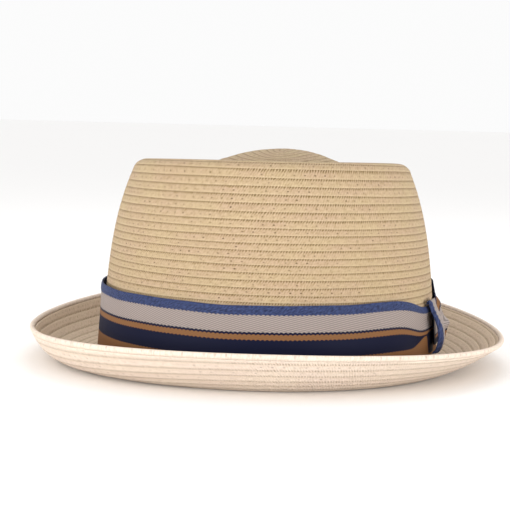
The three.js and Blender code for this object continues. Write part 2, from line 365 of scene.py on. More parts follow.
class HatColours(bpy.types.PropertyGroup):
    """Colours of the straw, the ribbon and the floor"""

    crown_straw: tint("Crown straw", "Face of the straw on the crown", "BDA786")
    crown_blush: tint("Crown blush", "Pinker stretches of the straw on the crown", "C2A690")
    # The brim's straw is a lit copy, painted paler for the light from the floor below on the underside.
    brim_straw: tint("Brim straw", "Paler face of the straw on the brim", "E8D8C8")
    brim_blush: tint("Brim blush", "Pinker stretches of the straw on the brim", "E9D7CB")
    # The upper side's straw is a shaded copy, painted darker and warmer for the crown's shade.
    upper_straw: tint("Upper straw", "Warmer face of the straw on the brim's upper side", "D6C1A9")
    upper_blush: tint("Upper blush", "Pinker stretches on the brim's upper side", "D7BFAA")
    # Darker fibres, and the painted shade below each row's edge.
    straw_fibre_and_shade: tint("Straw shade", "Darker fibres between the strands", "927B53")
    # Painted highlight where each row's lower edge catches the light.
    straw_edge_highlight: tint("Straw edge", "Pale lower edge of each row", "D6C3A2")
    # Stitch holes, and the painted shade in the gaps under each row.
    hole_and_gap_shade: tint("Crevice", "Stitch holes and the gaps under each row", "4F3A1F")
    blue: tint("Ribbon blue", "Top stripe of the ribbon", "2F3858")
    cream: tint("Ribbon cream", "Cream twill stripe of the ribbon", "978C87")
    tan: tint("Ribbon tan", "Tan stripes of the ribbon", "7E5838")
    navy: tint("Ribbon navy", "Navy line and wide navy stripe of the ribbon", "0E122B")
    floor: tint("Floor", "Pale studio floor", "FBFAF9")


def add(tree, kind, inputs=(), operation=None, **settings):
    """Adds a shader node with its settings, sets or links its inputs, and gives its first output."""
    node = tree.nodes.new("ShaderNode" + kind)
    if operation:
        node.operation = operation
    for key, value in settings.items():
        setattr(node, key, value)
    pairs = inputs.items() if isinstance(inputs, dict) else enumerate(inputs)
    for key, value in pairs:
        if isinstance(value, bpy.types.NodeSocket):
            tree.links.new(value, node.inputs[key])
        else:
            node.inputs[key].default_value = value
    return node.outputs[0] if node.outputs else node


def start_material(name):
    """A new node material, emptied of Blender's own nodes, and the function that adds a node to it."""
    material = bpy.data.materials.new(name)
    material.use_nodes = True
    material.node_tree.nodes.clear()
    return material, partial(add, material.node_tree)


def finish_material(material, colour, bump, look):
    """Ends a material with its colour, its bump and the look of its face, and gives the material."""
    tree = material.node_tree
    normal = add(tree, "Bump", bump)
    shader = add(tree, "BsdfPrincipled", {"Base Color": colour, "Normal": normal, **look})
    add(tree, "OutputMaterial", {"Surface": shader})
    return material


def solid(colour):
    return (*colour, 1.0)


# The straw on each part: its material's name, and how dark the fibres, the holes and the painted shade in
# the gaps between strands and rows are. The brim's underside is a lit copy of the straw, painted paler for
# the light from the floor below, and its upper side a shaded copy, painted darker and warmer for the
# crown's shade.
STRAWS = {
    "crown": ("sewn_toyo_straw", 0.7),
    "brim": ("lit_underside_toyo_straw", 0.32),
    "upper": ("shaded_upper_toyo_straw", 0.38),
}

# The straw's patterns in millimetres, along the row and down it, and the share of the row where the
# stitches lie.
STRAND_SPACING = 1.3
STRAND_SLANT = 0.55
PATCH_SIZE = (3.0, 1.1)
TONE_LENGTH = 25.0
STROKE_SIZE = (0.62, 1.7)
HOLE_SIZE = (0.6, 0.42)
STITCH_SHARE = 0.6


def sewn_straw(part, sizes, colours):
    """Toyo paper straw, plaited flat, sewn in a spiral and blocked.

    The sewing leaves a small dark hole at every stitch. A hatched line of painted shade lies in the gap
    under each row's edge, with a soft olive painted shade below it. The plait gives fine slanting hatching
    on the face, a painted highlight stands for the light that the lower edge catches, and the paper fibres
    keep a dry, matt face.
    """
    name, gap_share = STRAWS[part]
    face_colour, blush_colour = getattr(colours, part + "_straw"), getattr(colours, part + "_blush")
    material, node = start_material(name)
    uv = node("UVMap", uv_map="weave")
    parts = node("SeparateXYZ", [uv])
    rows = parts.node.outputs[1]
    along = node("Math", [parts, 1 / MM], "MULTIPLY")
    row = node("Math", [rows], "FLOOR")
    across = node("Math", [rows], "FRACT")
    width_mm = (sizes.rim_pitch + sizes.band_pitch) / 2 / MM
    down = node("Math", [across, width_mm], "MULTIPLY")
    # Each row has a pattern of its own.
    row_seed = node("Math", [row, 7.31], "MULTIPLY")
    slanted = node("Math", [down, STRAND_SLANT, along], "MULTIPLY_ADD")

    # Uneven pressing of the plait in patches, slow changes of tone, and single dark strokes between the
    # strands, in some places and not in others.
    patch_down = node("Math", [down, 1 / PATCH_SIZE[1], row_seed], "MULTIPLY_ADD")
    stroke_down = node("Math", [down, 1 / STROKE_SIZE[1], row_seed], "MULTIPLY_ADD")
    noises = []
    for line_along, long_mm, line_down, layer, detail in (
        (along, PATCH_SIZE[0], patch_down, 0.0, 2.0),
        (along, TONE_LENGTH, row_seed, 3.0, 3.0),
        (slanted, STROKE_SIZE[0], stroke_down, 5.0, 2.0),
    ):
        scaled = node("Math", [line_along, 1 / long_mm], "MULTIPLY")
        place = node("CombineXYZ", [scaled, line_down, layer])
        noises.append(node("TexNoise", {"Vector": place, "Scale": 1.0, "Detail": detail}))
    patch, tone, stroke = noises
    stroke_mark = node("MapRange", {"Value": stroke, "From Min": 0.47, "From Max": 0.7})

    # The plait's strands, slanting up to the right and shaken a little.
    strand_rate = 2 * math.pi / STRAND_SPACING
    strand_turn = node("Math", [slanted, strand_rate, row_seed], "MULTIPLY_ADD")
    shaken = node("Math", [patch, 7.0, strand_turn], "MULTIPLY_ADD")
    strand_wave = node("Math", [shaken], "SINE")
    strand = node("MapRange", {"Value": strand_wave, "From Min": -0.6, "From Max": 0.6})

    # How far a point lies from its stitch, in halves of a hole.
    stitch_mm = sizes.stitch_spacing / MM
    stitch_turn = node("Math", [row, 0.377], "MULTIPLY")
    stitch_count = node("Math", [along, 1 / stitch_mm, stitch_turn], "MULTIPLY_ADD")
    stitch_part = node("Math", [stitch_count], "FRACT")
    beside = node("Math", [stitch_part, 0.5], "SUBTRACT")
    beside_mm = node("Math", [beside, stitch_mm / HOLE_SIZE[0]], "MULTIPLY")
    above = node("Math", [across, STITCH_SHARE], "SUBTRACT")
    above_mm = node("Math", [above, width_mm / HOLE_SIZE[1]], "MULTIPLY")
    offset = node("CombineXYZ", [beside_mm, above_mm, 0.0])
    away = node("VectorMath", [offset], "LENGTH").node.outputs["Value"]

    # Painted shade below the row above, its dark line in the gap, the painted edge highlight, the hole.
    shade, line, lit, hole_mark = (
        node(
            "MapRange", {"Value": value, "From Min": low, "From Max": high},
            interpolation_type="SMOOTHSTEP",
        )
        for value, low, high in (
            (across, 0.4, 0.06), (across, 0.4, 0.05), (across, 0.76, 0.92), (away, 1.15, 0.45),
        )
    )

    # Some stitches are pulled tighter than others, in stretches.
    stitch_number = node("Math", [stitch_count], "FLOOR")
    pull_place = node("CombineXYZ", [stitch_number, row, 0.0])
    pull = node("TexWhiteNoise", {"Vector": pull_place}, noise_dimensions="2D")
    pull_most = node(
        "MapRange", {"Value": tone, "From Min": 0.4, "From Max": 0.6, "To Min": 0.55, "To Max": 1.3}
    )
    tight = node("MapRange", {"Value": pull, "To Min": 0.1, "To Max": pull_most})
    hole = node("Math", [hole_mark, tight], "MULTIPLY")

    # How much of each tone shows: pinker stretches, darker fibres and olive painted shade, the painted
    # edge highlight, the painted shade line in the gap and the holes.
    blush_share = node("MapRange", {"Value": tone, "From Min": 0.4, "From Max": 0.6, "To Max": 0.6})
    strand_share = node("MapRange", {"Value": strand, "From Min": 1.0, "From Max": 0.0, "To Max": 0.2})
    tone_share = node("MapRange", {"Value": tone, "From Min": 0.3, "From Max": 0.7, "To Max": 0.2})
    patch_share = node("MapRange", {"Value": patch, "From Min": 0.35, "From Max": 0.65, "To Max": 0.25})
    tone_patch = node("Math", [tone_share, patch_share], "ADD")
    strand_tone = node("Math", [strand_share, tone_patch], "ADD")
    fibre_share = node("Math", [stroke_mark, 0.7, strand_tone], "MULTIPLY_ADD")
    shade_hatch = node("MapRange", {"Value": strand, "To Min": 1.0, "To Max": 0.15})
    shade_fibre = node("Math", [shade, shade_hatch, fibre_share], "MULTIPLY_ADD")
    shade_part = node("Math", [shade_fibre, gap_share], "MULTIPLY")
    lit_share = node("Math", [lit, 0.18], "MULTIPLY")
    gap_shade_hatch = node("MapRange", {"Value": strand, "To Min": 1.0, "To Max": 0.0})
    gap_shade_share = node("Math", [line, gap_shade_hatch], "MULTIPLY")
    gap_shade_tone = node("MapRange", {"Value": stroke, "From Min": 0.3, "From Max": 0.6, "To Min": 0.3})
    gap_shade_part = node("Math", [gap_shade_share, gap_shade_tone], "MULTIPLY")
    dark = node("Math", [gap_shade_part, hole], "MAXIMUM")
    hole_gap_shade_share = node("Math", [dark, gap_share], "MULTIPLY")

    colour = solid(face_colour)
    for share, shade_colour in (
        (blush_share, blush_colour), (shade_part, colours.straw_fibre_and_shade), (lit_share, colours.straw_edge_highlight),
        (hole_gap_shade_share, colours.hole_and_gap_shade),
    ):
        mixed = node("Mix", {0: share, 6: colour, 7: solid(shade_colour)}, data_type="RGBA")
        colour = mixed.node.outputs[2]

    strand_height = node("Math", [strand, 0.35, patch], "MULTIPLY_ADD")
    height = node("Math", [dark, -0.8, strand_height], "MULTIPLY_ADD")
    bump = {"Height": height, "Distance": 0.22 * MM, "Strength": 0.8}
    look = {"Roughness": 0.68, "IOR": 1.45, "Specular IOR Level": 0.25}
    return finish_material(material, colour, bump, look)


# The small scallops along the ribbon's stripes, the twill's slope, and the flecks' size and turn.
SCALLOP_PITCH = 2.3 * MM
SCALLOP_DEPTH = 0.5 * MM
TWILL_SLOPE = math.tan(math.radians(12.5))
FLECK_SIZE = (2.0 * MM, 0.5 * MM)
FLECK_TURN = math.radians(28)


def striped_ribbon(sizes, colours):
    """Woven cotton ribbon with satin and twill stripes.

    The twill's fine lines show in the cream stripe and scallop the stripes' borders, and single threads
    fleck the blue. The UV map runs along the ribbon and down from its top edge, in metres.
    """
    material, node = start_material("striped_twill_ribbon")
    uv = node("UVMap", uv_map="weave")
    parts = node("SeparateXYZ", [uv])
    down = parts.node.outputs[1]

    # The twill's lines slope down along the ribbon, and where they meet a border they scallop it.
    slant = node("Math", [parts, -TWILL_SLOPE, down], "MULTIPLY_ADD")
    rib_turn = node("Math", [slant, 2 * math.pi / sizes.twill], "MULTIPLY")
    rib = node("Math", [rib_turn], "SINE")
    scallop_turn = node("Math", [parts, math.pi / SCALLOP_PITCH], "MULTIPLY")
    scallop_wave = node("Math", [scallop_turn], "SINE")
    scallop = node("Math", [scallop_wave], "ABSOLUTE")
    scalloped = node("Math", [scallop, SCALLOP_DEPTH, down], "MULTIPLY_ADD")
    share = node("Math", [scalloped, 1 / (RIBBON_WIDTH * MM)], "MULTIPLY")

    stripes = node("ValToRGB", [share])
    ramp = stripes.node.color_ramp
    ramp.interpolation = "CONSTANT"
    widths = (sizes.blue, sizes.cream, sizes.line, sizes.tan, sizes.navy)
    shades = (colours.blue, colours.cream, colours.navy, colours.tan, colours.navy, colours.tan)
    starts = [0.0, *np.cumsum(widths) / (RIBBON_WIDTH * MM)]
    while len(ramp.elements) < len(shades):
        ramp.elements.new(1.0)
    for element, start, shade in zip(ramp.elements, starts, shades):
        element.position = float(start)
        element.color = solid(shade)

    # Flecks where single threads lie over their neighbours, rising along the ribbon.
    fleck_place = node("CombineXYZ", [parts, down, 0.0])
    fleck_turned = node("Mapping", {"Vector": fleck_place, "Rotation": (0, 0, FLECK_TURN)})
    fleck_scale = (1 / FLECK_SIZE[0], 1 / FLECK_SIZE[1], 1.0)
    fleck_scaled = node("Mapping", {"Vector": fleck_turned, "Scale": fleck_scale})
    fleck = node("TexNoise", {"Vector": fleck_scaled, "Scale": 1.0, "Detail": 1.0})
    rib_light = node("MapRange", {"Value": rib, "From Min": -1.0, "To Min": 0.62, "To Max": 1.27})
    fleck_light = node(
        "MapRange",
        {"Value": fleck, "From Min": 0.35, "From Max": 0.65, "To Min": 0.65, "To Max": 1.65},
    )
    on_blue = node("Math", [scalloped, sizes.blue], "LESS_THAN")
    on_twill = node("Math", [scalloped, sizes.blue + sizes.cream], "LESS_THAN")
    satin_light = node("MapRange", {"Value": rib, "From Min": -1.0, "To Min": 0.92, "To Max": 1.06})
    below_blue = node("Mix", {0: on_twill, 2: satin_light, 3: rib_light}, data_type="FLOAT")
    light = node("Mix", {0: on_blue, 2: below_blue, 3: fleck_light}, data_type="FLOAT")
    shaded = node("VectorMath", {0: stripes, "Scale": light}, "SCALE")
    twill_rib = node("Math", [rib, on_twill], "MULTIPLY")
    height = node("Math", [fleck, 0.6, twill_rib], "MULTIPLY_ADD")
    bump = {"Height": height, "Distance": 0.05 * MM, "Strength": 0.6}
    look = {"Roughness": 0.6, "IOR": 1.5, "Specular IOR Level": 0.1}
    return finish_material(material, shaded, bump, look)


def painted_board(colours):
    """Matt painted board: an even, pale face with a faint tooth that keeps reflections away."""
    material, node = start_material("matt_painted_board")
    where = node("TexCoord").node.outputs["Object"]
    tooth = node("TexNoise", {"Vector": where, "Scale": 900.0, "Detail": 2.0})
    bump = {"Height": tooth, "Distance": 0.05 * MM, "Strength": 0.2}
    look = {"Roughness": 0.9, "Specular IOR Level": 0.1}
    return finish_material(material, solid(colours.floor), bump, look)


# In metres: points closer than this are one, and an edge shorter than this is dropped.
MERGE_DISTANCE = 2e-6
SLIVER_LENGTH = 1e-7


def shaped_grid(name, points, weave, material, first_material=None, first_lines=0):
    """A closed piece from a flat grid.

    Its points move to their places in millimetres, and the edges that meet are merged. Weave holds the UV
    of each row of faces at its upper and its lower line. The first lines may have their own material.
    """
    lines, columns = points.shape[0] - 1, points.shape[1] - 1
    shape = bmesh.new()
    bmesh.ops.create_grid(shape, x_segments=columns, y_segments=lines, size=1.0)
    layer = shape.loops.layers.uv.new("weave")
    shape.verts.index_update()
    places = [
        (round((v.co.y + 1) / 2 * lines), round((v.co.x + 1) / 2 * columns)) for v in shape.verts
    ]
    metres = (points * MM).tolist()
    weave = weave.tolist()
    for vertex, (line, column) in zip(shape.verts, places):
        vertex.co = metres[line][column]
    for face in shape.faces:
        face.smooth = True
        top = min(places[loop.vert.index][0] for loop in face.loops)
        face.material_index = int(top < first_lines)
        for loop in face.loops:
            line, column = places[loop.vert.index]
            loop[layer].uv = weave[top][line - top][column]
    bmesh.ops.reverse_faces(shape, faces=shape.faces[:])
    bmesh.ops.remove_doubles(shape, verts=shape.verts[:], dist=MERGE_DISTANCE)
    bmesh.ops.dissolve_degenerate(shape, edges=shape.edges[:], dist=SLIVER_LENGTH)
    # A sheet's face and back share their corner points, which are cut off.
    corners = [vertex for vertex in shape.verts if len(vertex.link_edges) == 2]
    bmesh.ops.dissolve_verts(shape, verts=corners)
    mesh = bpy.data.meshes.new(name)
    shape.to_mesh(mesh)
    shape.free()
    piece = bpy.data.objects.new(name, mesh)
    bpy.context.scene.collection.objects.link(piece)
    piece.data.materials.append(material)
    if first_material:
        piece.data.materials.append(first_material)
    return piece


# How the sewing strays: height, rate by the turn, and start of each wave.
STRAY_WAVES = ((1.0, 9.7, 1.3), (0.7, 23.9, 0.4), (0.5, 41.3, 2.2))


def stray(turns):
    """A slow, uneven swing from -1 to 1 by the number of turns along the spiral."""
    return waves(turns, STRAY_WAVES) / sum(height for height, _, _ in STRAY_WAVES)


# One row of braid across its width on the face and on the back: share of the row, share of the step.
FACE_SHARES = (0.0, 0.1, 0.35, 0.65, 0.88, 0.97)
FACE_STEPS = (0.0, 0.3, 0.7, 0.95, 1.0, 0.75)
BACK_SHARES = (0.0, 0.06, 0.5, 0.95)
BACK_STEPS = (0.75, 1.0, 0.5, 0.0)


def spiral_lines(row_count):
    """Every line of the spiral's grid from the first row out to the edge on the face, then back again.

    Gives each line's row, its share of that row, its share of the overlap's step, and its side.
    """
    last = math.ceil(row_count) + 1
    face = [
        (row, share, step, 1.0)
        for row in range(last)
        for share, step in zip(FACE_SHARES, FACE_STEPS)
    ]
    back = [
        (row, share, step, -1.0)
        for row in reversed(range(last))
        for share, step in zip(reversed(BACK_SHARES), reversed(BACK_STEPS))
    ]
    ends = [(last, 0.0, 0.0, 1.0), (last, 0.0, 0.0, -1.0)]
    return np.array(face + ends + back)


def spiral_rows(lines, turn, row_count, waver):
    """The row number of each line of the grid at each turn, and where it is held at an end."""
    row, share = lines[:, 0, None], lines[:, 1, None]
    upper = row + turn - 1
    started = clamp(upper + share)
    strayed = upper + share + started * waver * mix(stray(upper), stray(upper + 1), share)
    held = (strayed <= 0.0) | (strayed >= row_count)
    return np.clip(strayed, 0.0, row_count), held


def spiral_weave(points, lines, turn):
    """The UV of each row of faces: along the row in metres, and the number of rows."""
    steps = np.linalg.norm(np.diff(points, axis=1), axis=2) * MM
    reached = np.hstack([np.zeros((len(points), 1)), np.cumsum(steps, axis=1)])
    row = np.minimum(lines[:-1, 0], lines[1:, 0])
    along = np.array([reached[:-1][row == value].mean(axis=0) for value in row])
    count = lines[:, 0] + lines[:, 1]
    weave = np.zeros((len(row), 2, len(turn), 2))
    weave[:, :, :, 0] = along[:, None, :]
    weave[:, 0, :, 1] = count[:-1, None]
    weave[:, 1, :, 1] = count[1:, None]
    return weave


def ring_angles(columns):
    """Turns from the seam at the back, counter-clockwise from above, and their angles."""
    turn = np.linspace(0.0, 1.0, columns + 1)
    return turn, math.pi / 2 + turn * 2 * math.pi


# The surface lies at this share of a row's step, and the back follows this share of the step.
FACE_SHARE = 0.85
BACK_SHARE = 0.8


def offset_face(surface, outward, lines, held, step_mm):
    """Moves the grid's lines off the surface: the face by the row's step, the back by the wall as well."""
    rise = np.where(held, 0.5, lines[:, 2, None]) * step_mm
    on_face = rise - FACE_SHARE * step_mm
    on_back = -(WALL - 0.5 * step_mm) - BACK_SHARE * rise
    off = np.where(lines[:, 3, None] > 0, on_face, on_back)
    return surface + outward * off[..., None]


def frame_piece(piece, slot, *nodes):
    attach(piece, "root")
    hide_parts(*nodes)


class PORKPIE_OT_crown(bpy.types.Operator):
    """Builds the crown's spiral of sewn straw braid, from the middle of the tip down to the brim"""

    bl_idname = "porkpie.crown"
    bl_label = "Crown Braid"

    def execute(self, context):
        sizes, colours = context.scene.porkpie_sizes, context.scene.porkpie_colours
        straw = sewn_straw("crown", sizes, colours)
        pitches = (sizes.rim_pitch / MM, sizes.band_pitch / MM)
        pitch = np.interp(WALL_DISTANCES, PITCH_CHANGE, pitches)
        rows_past = np.concatenate([[0.0], np.cumsum(np.diff(WALL_DISTANCES) / pitch[:-1])])
        foot_share = (HANDOVER_HEIGHT + HANDOVER_GAP) / CROWN_HEIGHT
        foot_distance = RIM_ARC + np.interp(-foot_share, -WALL_SHARES, WALL_ARC)
        wall_rows = float(np.interp(foot_distance, WALL_DISTANCES, rows_past))
        row_count = sizes.tip_rows + wall_rows

        turn, angle = ring_angles(sizes.crown_columns)
        lines = spiral_lines(row_count)
        rows, held = spiral_rows(lines, turn, row_count, sizes.waver)
        angle = np.broadcast_to(angle, rows.shape)

        inner = 1 - np.minimum(rows / sizes.tip_rows, 1.0)
        plan_x = CREST_HALF_WIDTH * (1 - inner) * np.cos(angle)
        plan_y = (CREST_HALF_LENGTH - CREST_HALF_WIDTH * inner) * np.sin(angle)
        tip, tip_outward = with_outward(tip_point, plan_x, plan_y, (NUDGE, NUDGE))
        tip_outward = tip_outward * np.sign(tip_outward[..., 2:3])

        past = np.interp(rows - sizes.tip_rows, rows_past, WALL_DISTANCES)
        wall, wall_outward = with_outward(crown_place, past, angle, (NUDGE, NUDGE_TURN))
        on_tip = (rows < sizes.tip_rows)[..., None]
        surface = np.where(on_tip, tip, wall)
        outward = np.where(on_tip, tip_outward, wall_outward)
        points = offset_face(surface, outward, lines, held, sizes.overlap_step / MM)
        crown = shaped_grid("crown_braid", points, spiral_weave(points, lines, turn), straw)
        frame_piece(crown, "straw", "straw_body")
        return {"FINISHED"}


# The part of a row's pattern that the rolled edge shows.
ROLL_PATTERN = (0.12, 0.94)
# The rolled row at the brim's edge: share of its width in from the edge, height over the face in mm.
ROLL = (
    (1.0, -0.42), (0.9, -0.05), (0.62, 0.2), (0.32, 0.12), (0.1, -0.32), (0.0, -0.95),
    (0.08, -1.6), (0.32, -2.02), (0.62, -2.15), (0.9, -2.0), (1.0, -1.75),
)


class PORKPIE_OT_brim(bpy.types.Operator):
    """Builds the brim's rows of braid, from the crown's foot to the rolled edge"""

    bl_idname = "porkpie.brim"
    bl_label = "Brim Braid"

    def execute(self, context):
        sizes, colours = context.scene.porkpie_sizes, context.scene.porkpie_colours
        # The underside's straw is a lit copy painted paler, and the upper side's a shaded copy painted
        # darker.
        straw, upper = sewn_straw("brim", sizes, colours), sewn_straw("upper", sizes, colours)
        turn, ring = ring_angles(sizes.brim_columns)

        # Even distances along the brim's own curve at each angle.
        fine = np.concatenate([np.linspace(0, 3, 61), np.linspace(3, 4, 121)[1:]])
        curve = brim_path(fine[:, None], ring[None, :] + 0 * fine[:, None])
        arc = travelled(curve)
        roll = sizes.edge_roll / MM
        near, far = sizes.root_pitch / MM, sizes.edge_pitch / MM
        sewn = float(arc[-1].mean()) - roll
        row_count = sewn * math.log(far / near) / (far - near)

        lines = spiral_lines(row_count)
        rows, held = spiral_rows(lines, turn, row_count, sizes.waver)
        share = (near * np.exp((far - near) * rows / sewn) - near) / (far - near)
        distance = share * (arc[-1] - roll)

        # The rolled edge comes between the face's last line and the back's first one.
        middle = int(np.argmin(lines[:, 3]))
        edge = np.array(ROLL) * (roll, 1.0)
        edge_distance = arc[-1] - edge[:, 0, None]
        distance = np.vstack([distance[:middle], edge_distance, distance[middle:]])
        last_row = lines[middle - 1, 0]
        edge_share = np.linspace(*ROLL_PATTERN, len(ROLL))
        edge_lines = np.stack([0 * edge_share + last_row, edge_share, edge[:, 1], 0 * edge_share], axis=1)
        all_lines = np.vstack([lines[:middle], edge_lines, lines[middle:]])
        all_held = np.vstack([held[:middle], np.zeros((len(ROLL), len(ring)), bool), held[middle:]])

        place = np.stack(
            [np.interp(distance[:, j], arc[:, j], fine) for j in range(len(ring))], axis=1
        )
        angle = np.broadcast_to(ring, place.shape)
        inside = np.clip(place, NUDGE_PLACE, 4 - NUDGE_PLACE)
        _, outward = with_outward(brim_path, inside, angle, (NUDGE_PLACE, NUDGE_TURN))
        surface = brim_path(place, angle)
        points = offset_face(surface, outward, all_lines, all_held, sizes.overlap_step / MM)
        rolled = slice(middle, middle + len(ROLL))
        points[rolled] = surface[rolled] + outward[rolled] * edge[:, 1, None, None]
        points[..., 2] = np.maximum(points[..., 2], 0.0)
        # The grid ends on its first line again, which closes the wall at the crown's foot.
        points = np.vstack([points, points[:1]])
        weave = spiral_weave(points, np.vstack([all_lines, all_lines[:1]]), turn)
        brim = shaped_grid("brim_braid", points, weave, straw, upper, middle)
        frame_piece(brim, "straw", "straw_body")
        return {"FINISHED"}


def ribbon_strip(name, face, back, along, down, material):
    """A closed strip of ribbon from its face and its back, given from its first edge to its last."""
    points = np.concatenate([face, back[::-1], face[:1]])
    rows = np.concatenate([down, down[::-1], down[:1]])
    places = np.concatenate([along, along[::-1], along[:1]])
    weave = np.stack([places, rows], axis=-1) * MM
    return shaped_grid(name, points, np.stack([weave[:-1], weave[1:]], axis=1), material)


BAND_COLUMNS = 720
# Where the stripes begin from the ribbon's top edge down: lying flat, with the wide navy stripe tucked
# under at the knot, and with the same stripe opened out again under the knot, where its dark navy fills
# the hollow as painted shade.
STRIPE_EDGES = (0.0, 0.14, 0.375, 0.41, 0.48, 0.725, 1.0)
TUCKED_EDGES = (0.0, 0.135, 0.455, 0.5, 0.555, 0.572, 1.0)
HOLLOW_SHADE_EDGES = (0.0, 0.135, 0.455, 0.5, 0.51, 0.97, 1.0)
# How the ribbon sways along its length: height, rate by the turn, and start of each wave.
BAND_WAVES = ((0.35, 5, 0.7), (0.25, 9, 2.1), (0.15, 17, 4.0))
# The weave's scallops at both edges: height, and number round the hat.
BAND_SCALLOPS = (0.13, 360)
# In millimetres: the lower edge above the brim's root, the pleat where the navy stripe tucks in, the folds
# beside the knot, how far the whole gather and its lower part sink, and the least stand off the crown.
BAND_LIFT = 0.3
PLEAT_DEPTH = 0.5
FOLD_DEPTH = 0.35
GATHER_SINK = 1.2
LOWER_SINK = 0.4
BAND_LEAST_STAND = 0.8


class PORKPIE_OT_band(bpy.types.Operator):
    """Builds the striped ribbon round the crown, gathered into pleats at the knot"""

    bl_idname = "porkpie.band"
    bl_label = "Ribbon Band"

    def execute(self, context):
        sizes, colours = context.scene.porkpie_ribbon, context.scene.porkpie_colours
        ribbon = striped_ribbon(sizes, colours)
        turn, ring = ring_angles(BAND_COLUMNS)
        # Lines across the ribbon, closer at its rolled top edge.
        rolled = [0.0, 0.004, 0.015, 0.04, 0.07, 0.1, 0.135]
        cut = np.concatenate([rolled, np.linspace(0.17, 0.985, 24), [1.0]])
        gathered = gather(ring)

        # The stripes crowd together where the navy one tucks in, the lower ones later than the upper ones,
        # and it opens again from 3 degrees before the bow's middle to 8 degrees past it, where the navy is
        # painted shade for the hollow.
        tucked = np.interp(cut, STRIPE_EDGES, TUCKED_EDGES)
        lateness = np.interp(cut, (0.5, 0.7), (2.0, 5.0))
        drop = mix(cut[:, None], tucked[:, None], gathered[None, :] ** lateness[:, None])
        opened = np.interp(cut, STRIPE_EDGES, HOLLOW_SHADE_EDGES)
        turned = past_bow(ring)
        under = smoothstep((turned + 3.0) / 1.6) * smoothstep((8.0 - turned) / 4.0)
        drop = mix(drop, opened[:, None], under)

        # Both edges sway and are finely scalloped by the weave, and the knot draws them together.
        slow = waves(ring, BAND_WAVES)
        scallop = BAND_SCALLOPS[0] * np.sin(ring * BAND_SCALLOPS[1])
        top = RIBBON_TOP - PINCH_TOP * gathered**1.8 + 0.5 * slow + scallop
        bottom = RIBBON_BOTTOM + BAND_LIFT + 0.5 * PINCH_BOTTOM * gathered**5 - scallop
        height = mix(top, bottom, drop)

        # The ribbon bellies a little between its edges, and pleats and sinks in beside the knot.
        roll = smooth_table(BAND_DROP, BAND_ROLL, cut)[:, None]
        ease = 0.18 * slow * np.sin(math.pi * cut)[:, None]
        pleat = np.exp(-(((cut - 0.6) / 0.1) ** 2))[:, None] * gathered**1.5
        fold = FOLD_DEPTH * np.sin(cut * math.pi * 5)[:, None] * gathered**2
        lower = smoothstep((cut[:, None] - 0.45) * 4)
        sunk = GATHER_SINK * gathered**2 + LOWER_SINK * lower * gathered**3
        stand = RIBBON_STAND + roll + ease - PLEAT_DEPTH * pleat + fold - sunk
        stand = np.maximum(stand, BAND_LEAST_STAND)
        # The cloth is rounded off at both edges, and thinner where the gather presses it.
        thickness = sizes.thickness / MM * np.minimum(1.0, np.sqrt(np.clip(cut * 80, 0.02, 1.0)))
        thickness = thickness * np.sqrt(np.clip((1 - cut) * 60, 0.02, 1.0))
        thickness = thickness[:, None] * (1 - 0.3 * gathered)
        angle = np.broadcast_to(ring, height.shape)
        face = stand_point(height, angle, stand)
        back = stand_point(height, angle, stand - thickness)

        around = np.linalg.norm(np.diff(face[len(cut) // 2], axis=0), axis=1).sum()
        along = np.broadcast_to(turn * around, height.shape)
        down = np.broadcast_to(cut[:, None] * RIBBON_WIDTH, height.shape)
        band = ribbon_strip("ribbon_band_cloth", face, back, along, down, ribbon)
        frame_piece(band, "ribbon", "ribbon_band")
        return {"FINISHED"}


# The knot's outer face from its upper lip over the band to its lower lip: height, stand off the crown.
KNOT_PROFILE = (
    (32.8, 1.5), (34.4, 1.9), (35.0, 2.9), (34.2, 4.0), (31.0, 5.1), (27.5, 6.3), (24.0, 7.3), (20.5, 7.9),
    (17.0, 8.0), (13.5, 7.4), (10.6, 6.2), (9.0, 4.6), (9.3, 3.0),
)
# The knot from its front edge to its back edge, as shares of half its width: how far it falls away.
KNOT_ACROSS = (-1.0, -0.9, -0.7, -0.4, 0.1, 1.0)
KNOT_FALL = (1.9, 1.0, 0.3, 0.0, 0.2, 1.6)
# The soft creases down the knot: depth, and place across it.
KNOT_CREASES = ((0.35, -0.05), (0.2, 0.5))
CREASE_WIDTH = 0.12
# The lean of its lower part in degrees, its cloth's thickness, and how far the stripes that it shows lie
# from the ribbon's edge at its foot and at its top, in millimetres.
KNOT_LEAN = 1.5
KNOT_THICKNESS = 1.1
KNOT_STRIPES = (0.6, 2.3)


